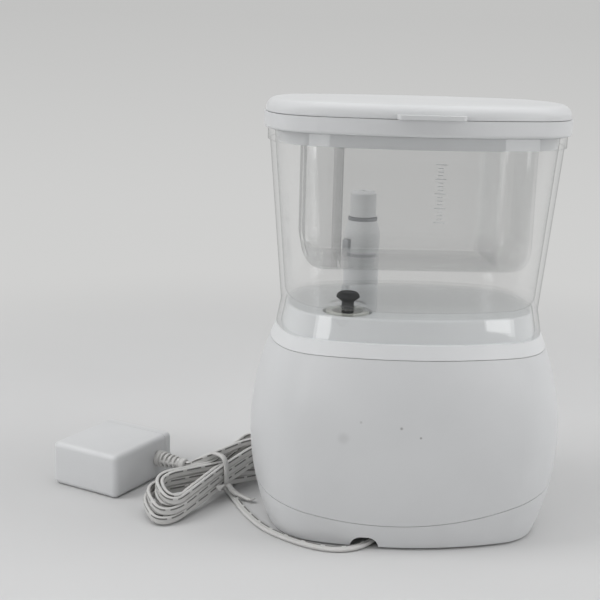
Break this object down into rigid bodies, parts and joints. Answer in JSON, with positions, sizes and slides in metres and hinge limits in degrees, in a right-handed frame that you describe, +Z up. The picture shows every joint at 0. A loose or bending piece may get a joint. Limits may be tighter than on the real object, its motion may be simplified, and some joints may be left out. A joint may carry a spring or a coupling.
{
  "type": "countertop water flosser",
  "caption": "White countertop water flosser with a bellied pump base, clear lift-off tank, hinged lid over a tip tray, upright spray handle, and a flat lead with its adapter.",
  "frame": {"origin": "on the table, under the middle of the box of the object without its lead and adapter", "axes": "+Z up, +X to the side that the lead leaves by, -Y the front with the dial and the spray handle"},
  "size_m": [0.2816, 0.1447, 0.2283],
  "materials": {
    "white_shell": "satin moulded",
    "clear_plastic": "clear moulded",
    "grey_plastic": "fine texture",
    "dark_plastic": "moulded",
    "black_rubber": "matte",
    "grey_rubber": "matte",
    "soft_tube": "smooth",
    "steel_can": "drawn",
    "steel": "polished",
    "nickel": "plated",
    "board": "coated",
    "white_lead": "soft vinyl"
  },
  "bodies": {
    "base": {"bottom_cover": "white_shell", "rubber_feet": "grey_rubber", "base_housing": "white_shell", "top_deck": "white_shell", "inlet_socket": "white_shell", "inlet_seal": "soft_tube", "gearbox_case": "dark_plastic", "motor": "steel_can", "pump": "dark_plastic", "inlet_tube": "soft_tube", "pressure_valve": "dark_plastic", "control_board": "board", "handle_cradle": "white_shell", "hose_port": "dark_plastic", "cord_gland": "black_rubber", "lead": "white_lead", "lead_hank": "white_lead", "lead_tail": "white_lead", "adapter_case": "white_shell", "adapter_face": "white_shell", "adapter_relief": "white_lead", "adapter_blades": "nickel"},
    "dial": {"dial": "grey_plastic"},
    "tank": {"tank": "clear_plastic"},
    "valve": {"tank_valve": "black_rubber"},
    "lid": {"lid_frame": "white_shell", "tip_tray": "clear_plastic", "hinge_pin": "steel"},
    "cover": {"lid_cover": "white_shell"},
    "handle": {"handle_body": "white_shell", "handle_ring": "grey_plastic", "hose_spigot": "dark_plastic"},
    "collar": {"tip_collar": "white_shell"},
    "button": {"pause_button": "grey_plastic"}
  },
  "joints": [
    {"name": "dial_turn", "type": "hinge", "parent": "base", "child": "dial", "pos_m": [-0.032, -0.0484, 0.05], "axis": [0, -1, 0], "range_deg": [-270, 0]},
    {"name": "tank_lift", "type": "slide", "parent": "base", "child": "tank", "axis": [0, 0, 1], "range_m": [0, 0.12]},
    {"name": "valve_close", "type": "slide", "parent": "tank", "child": "valve", "axis": [0, 0, 1], "range_m": [-0.0031, 0]},
    {"name": "lid_lift", "type": "slide", "parent": "tank", "child": "lid", "axis": [0, 0, 1], "range_m": [0, 0.09]},
    {"name": "cover_hinge", "type": "hinge", "parent": "lid", "child": "cover", "pos_m": [0, -0.0469, 0.2205], "axis": [1, 0, 0], "range_deg": [0, 105]},
    {"name": "handle_lift", "type": "slide", "parent": "base", "child": "handle", "axis": [0, 0, 1], "range_m": [0, 0.045]},
    {"name": "collar_turn", "type": "hinge", "parent": "handle", "child": "collar", "pos_m": [0.02, -0.0594, 0.16], "axis": [0, 0, 1], "continuous": true},
    {"name": "button_press", "type": "slide", "parent": "handle", "child": "button", "axis": [-0.8829, -0.4695, 0], "range_m": [0, 0.0012], "stiffness_N_per_m": 800}
  ],
  "couplings": [
    {"joint": "valve_close", "follows": "tank_lift", "ratio": -0.025}
  ]
}
